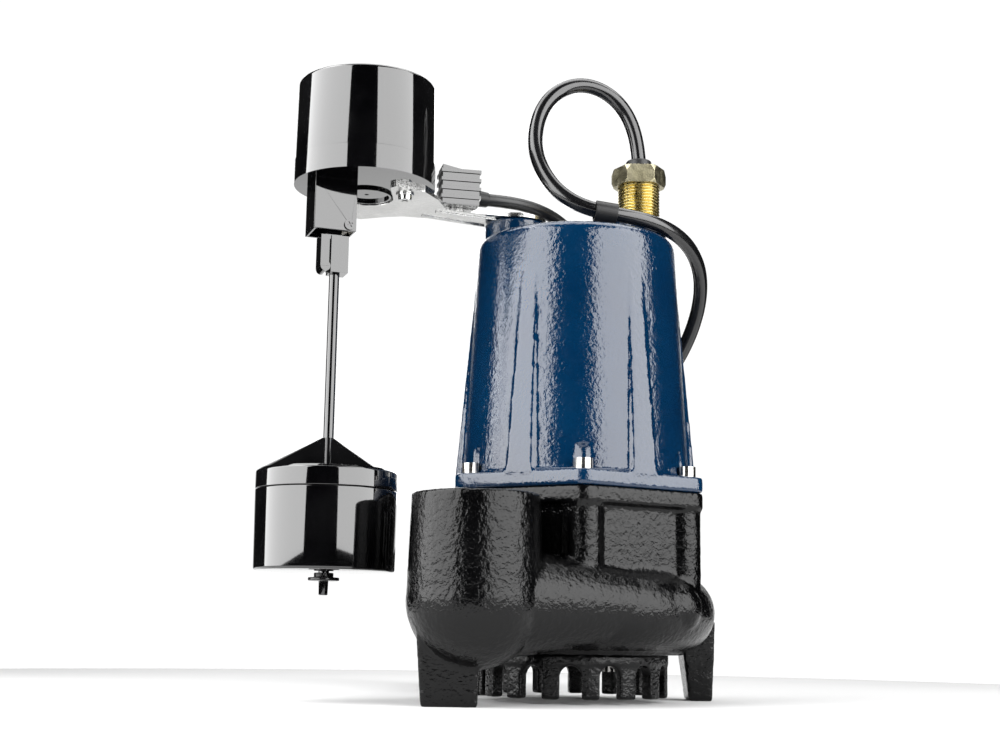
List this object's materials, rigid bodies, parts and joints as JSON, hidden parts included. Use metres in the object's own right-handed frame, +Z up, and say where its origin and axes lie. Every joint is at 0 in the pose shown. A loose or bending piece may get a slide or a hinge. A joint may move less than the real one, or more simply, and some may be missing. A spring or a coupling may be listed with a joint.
{
  "type": "submersible sump pump",
  "caption": "Cast submersible sump pump: finned motor housing on a spiral volute with upright threaded outlet, finger strainer, vertical float switch on a side bracket, cords with plugs.",
  "frame": {"origin": "middle of the footprint of the body and switch, on the surface that the feet stand on", "axes": "+Z up along the motor shaft and the outlet, -Y towards the outlet elbow, -X towards the float switch"},
  "size_m": [0.2478, 0.3805, 0.3527],
  "materials": {
    "cast_black": "hammered gloss black paint",
    "cast_blue": "glossy dark blue paint over orange-peel casting",
    "gloss_black": "polished",
    "cord_jacket": "semi-gloss jacket",
    "rubber_black": "matte",
    "steel": "satin",
    "brass": "machined",
    "copper": "enamelled copper wire",
    "iron": "laminated steel",
    "aluminium": "die cast",
    "ceramic": "off-white"
  },
  "bodies": {
    "pump": {"volute_casing": "cast_black", "suction_strainer": "cast_black", "strainer_screws": "steel", "motor_housing": "cast_blue", "flange_bolts": "steel", "seal_plate": "cast_black", "seal_plate_o_ring": "rubber_black", "stator_core": "iron", "stator_windings": "copper", "lower_bearing_outer": "steel", "upper_bearing_outer": "steel", "wave_washer": "steel", "seal_seat": "ceramic", "run_capacitor": "gloss_black", "thermal_protector": "gloss_black", "motor_leads": "rubber_black", "oil_fill_plug": "cast_blue", "gland_body": "brass", "gland_nut": "brass", "cord_grommet": "rubber_black", "switch_bracket": "steel", "bracket_screws": "steel", "bracket_bolt": "steel", "switch_cap": "gloss_black", "switch_lid": "gloss_black", "guide_box": "gloss_black", "pivot_pin": "gloss_black", "snap_switch": "ceramic", "cord_clamp": "gloss_black", "cord_clamp_boot": "rubber_black", "power_cord": "cord_jacket", "power_cord_hank": "cord_jacket", "power_cord_tie": "rubber_black", "power_plug": "rubber_black", "power_plug_blades": "brass", "cord_sleeve": "rubber_black", "switch_cord": "cord_jacket", "switch_cord_hank": "cord_jacket", "switch_cord_tie": "rubber_black", "piggyback_plug": "rubber_black", "piggyback_blades": "brass"},
    "rotor": {"motor_shaft": "steel", "rotor_core": "iron", "rotor_end_rings": "aluminium", "impeller": "cast_black", "impeller_nut": "brass", "lower_bearing_inner": "steel", "upper_bearing_inner": "steel", "seal_head": "rubber_black", "seal_spring": "steel"},
    "rod": {"float_rod": "gloss_black", "rod_head": "gloss_black", "float_clip": "gloss_black"},
    "float": {"float_cone": "gloss_black", "float_cup": "gloss_black"},
    "lever": {"switch_lever": "ceramic"},
    "plunger": {"switch_plunger": "ceramic"}
  },
  "joints": [
    {"name": "rotor_spin", "type": "hinge", "parent": "pump", "child": "rotor", "pos_m": [0.0439, 0.0205, 0.15], "axis": [0, 0, 1], "continuous": true},
    {"name": "rod_slide", "type": "slide", "parent": "pump", "child": "rod", "axis": [0, 0, 1], "range_m": [0, 0.003]},
    {"name": "float_slide", "type": "slide", "parent": "rod", "child": "float", "axis": [0, 0, 1], "range_m": [0, 0.087]},
    {"name": "lever_pivot", "type": "hinge", "parent": "pump", "child": "lever", "pos_m": [-0.08266, -0.02507, 0.2473], "axis": [-0.342, 0.9397, 0], "range_deg": [0, 15.64]},
    {"name": "plunger_slide", "type": "slide", "parent": "pump", "child": "plunger", "axis": [0, 0, 1], "range_m": [0, 0.0016]}
  ],
  "couplings": [
    {"joint": "lever_pivot", "follows": "rod_slide", "rad_per_m": 90.909},
    {"joint": "plunger_slide", "follows": "rod_slide", "ratio": 0.5}
  ]
}
